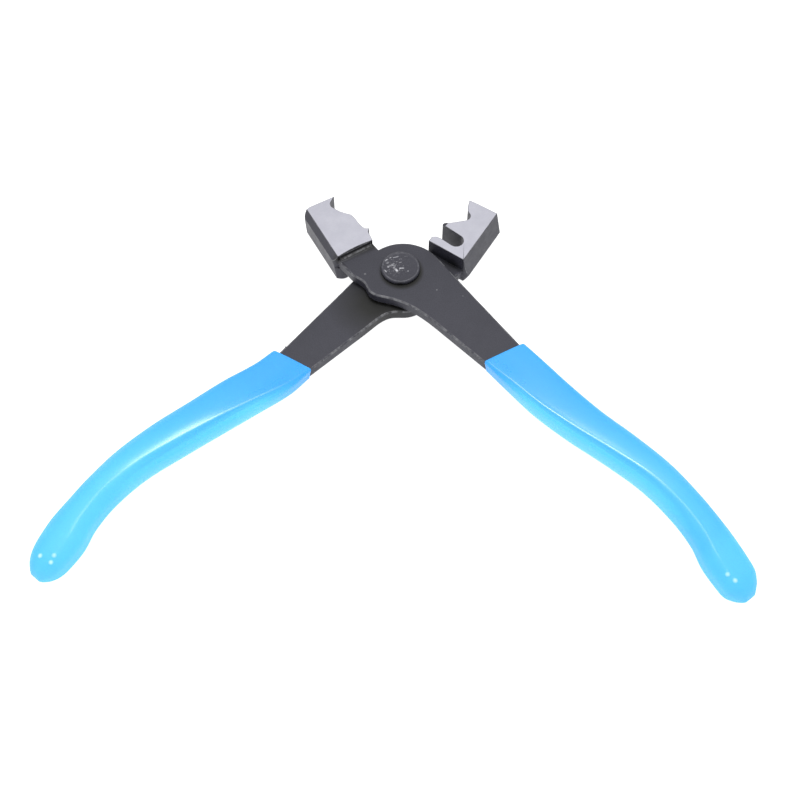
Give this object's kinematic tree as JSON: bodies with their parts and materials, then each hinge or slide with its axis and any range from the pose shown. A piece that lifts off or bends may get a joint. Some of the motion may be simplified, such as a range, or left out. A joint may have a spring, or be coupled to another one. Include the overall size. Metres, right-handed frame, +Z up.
{
  "type": "hose clip pliers",
  "caption": "Lap-joint pliers with notched jaws and dipped vinyl grips, for squeezing hose clips and clamps.",
  "frame": {"origin": "pivot axis where the back rivet head's flat face meets the surface the tool lies on", "axes": "+Z up along the pivot axis, +Y midway between the open jaws, +X from the left handle to the right handle"},
  "size_m": [0.2461, 0.1668, 0.0135],
  "materials": {
    "upper_steel": "black oxide, semi-gloss, ground silver jaw faces",
    "lower_steel": "black oxide, semi-gloss, ground silver jaw faces",
    "rivet_steel": "black oxide, scratched head",
    "right_vinyl": "glossy dipped vinyl, sky blue",
    "left_vinyl": "glossy dipped vinyl, sky blue"
  },
  "bodies": {
    "back_half": {"lower_lever": "lower_steel", "left_grip": "left_vinyl", "pivot_rivet": "rivet_steel"},
    "front_half": {"upper_lever": "upper_steel", "right_grip": "right_vinyl"}
  },
  "joints": [
    {"name": "pivot", "type": "hinge", "parent": "back_half", "child": "front_half", "pos_m": [0, 0, 0.00675], "axis": [0, 0, 1], "range_deg": [-73.5, 21]}
  ]
}
